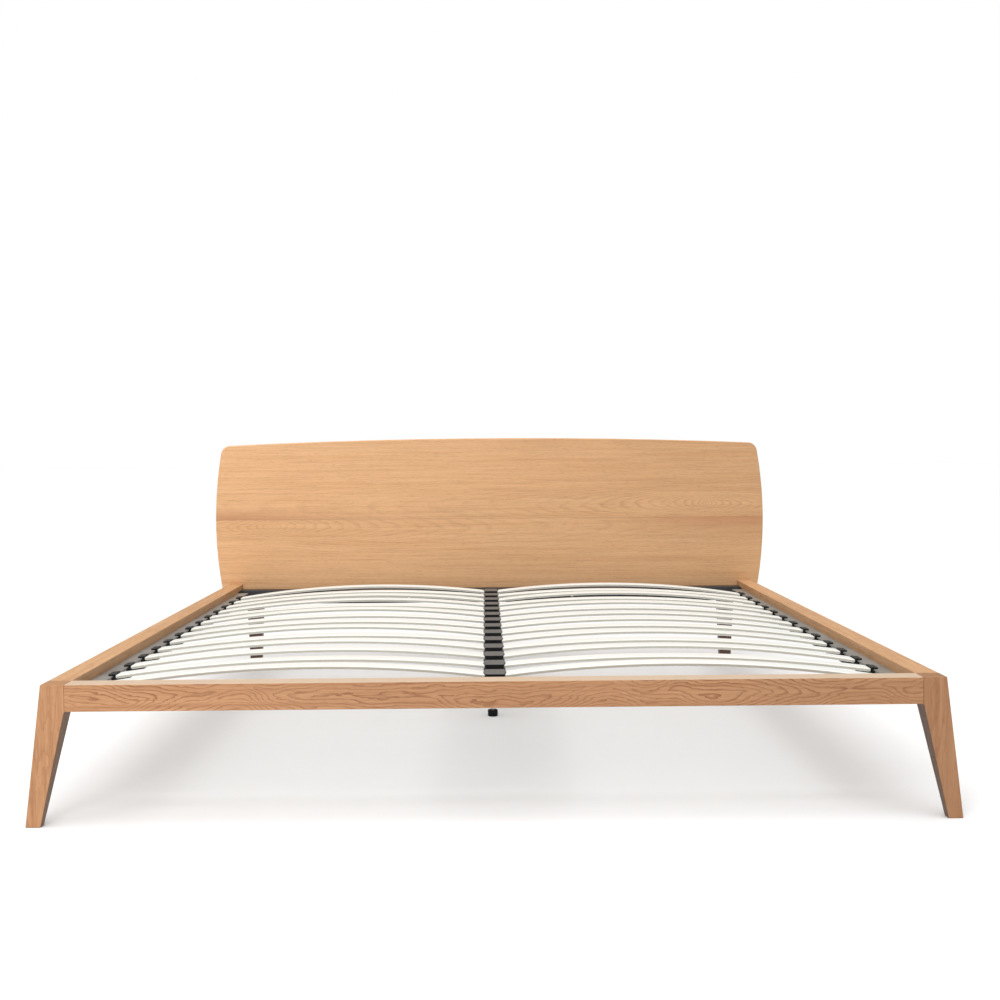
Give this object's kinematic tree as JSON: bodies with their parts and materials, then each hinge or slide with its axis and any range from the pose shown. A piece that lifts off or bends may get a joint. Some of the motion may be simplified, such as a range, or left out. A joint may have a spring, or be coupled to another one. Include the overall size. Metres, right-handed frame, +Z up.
{
  "type": "bed frame",
  "caption": "King size slatted bed frame with a bowed panel headboard, slim rails flush with splayed tapered legs, sprung slats and a centre beam.",
  "frame": {"origin": "on the floor, under the middle of the whole frame's box", "axes": "+X to the right seen from the foot end, +Y from the foot rail to the headboard, +Z up"},
  "size_m": [2.0358, 2.125, 0.8428],
  "materials": {
    "oak": "matt oiled natural oak",
    "dark_wood": "dark brown stained hardwood",
    "beech": "plain beech dowel",
    "slat_birch": "pale laminated birch, satin foil",
    "grey_steel": "grey powder coat",
    "black_steel": "black powder coat",
    "zinc_steel": "zinc plated",
    "grey_plastic": "fine moulded texture",
    "black_plastic": "fine moulded texture"
  },
  "bodies": {
    "frame": {"headboard_panel": "oak", "foot_rail": "oak", "side_rail_left": "oak", "side_rail_right": "oak", "front_leg_left": "oak", "front_leg_right": "oak", "rear_leg_left": "dark_wood", "rear_leg_right": "dark_wood", "corner_dowels": "beech", "slat_ledge_left": "grey_steel", "slat_ledge_right": "grey_steel", "head_cross_rail": "black_steel", "centre_beam": "black_steel", "beam_bracket_foot": "black_steel", "beam_bracket_head": "black_steel", "centre_leg": "black_steel", "corner_bracket_left": "grey_steel", "corner_bracket_right": "grey_steel", "centre_leg_insert": "black_plastic", "lock_nut": "zinc_steel", "frame_screws": "zinc_steel", "cross_rail_bolts": "zinc_steel", "rear_leg_studs": "zinc_steel", "bracket_bolts": "zinc_steel", "slat_holders_left": "black_plastic", "slat_holders_right": "black_plastic", "centre_slat_caps": "grey_plastic", "slat_left_01": "slat_birch", "slat_left_02": "slat_birch", "slat_left_03": "slat_birch", "slat_left_04": "slat_birch", "slat_left_05": "slat_birch", "slat_left_06": "slat_birch", "slat_left_07": "slat_birch", "slat_left_08": "slat_birch", "slat_left_09": "slat_birch", "slat_left_10": "slat_birch", "slat_left_11": "slat_birch", "slat_left_12": "slat_birch", "slat_left_13": "slat_birch", "slat_left_14": "slat_birch", "slat_right_01": "slat_birch", "slat_right_02": "slat_birch", "slat_right_03": "slat_birch", "slat_right_04": "slat_birch", "slat_right_05": "slat_birch", "slat_right_06": "slat_birch", "slat_right_07": "slat_birch", "slat_right_08": "slat_birch", "slat_right_09": "slat_birch", "slat_right_10": "slat_birch", "slat_right_11": "slat_birch", "slat_right_12": "slat_birch", "slat_right_13": "slat_birch", "slat_right_14": "slat_birch"},
    "levelling_pad": {"levelling_pad": "black_plastic"},
    "levelling_stud": {"levelling_stud": "zinc_steel"}
  },
  "joints": [
    {"name": "foot_height", "type": "slide", "parent": "frame", "child": "levelling_pad", "axis": [0, 0, 1], "range_m": [-0.01, 0.015]},
    {"name": "stud_turn", "type": "hinge", "parent": "levelling_pad", "child": "levelling_stud", "pos_m": [0, 0.0775, 0.02], "axis": [0, 0, 1], "range_deg": [-2400, 3600]}
  ],
  "couplings": [
    {"joint": "stud_turn", "follows": "foot_height", "rad_per_m": 4188.8}
  ]
}
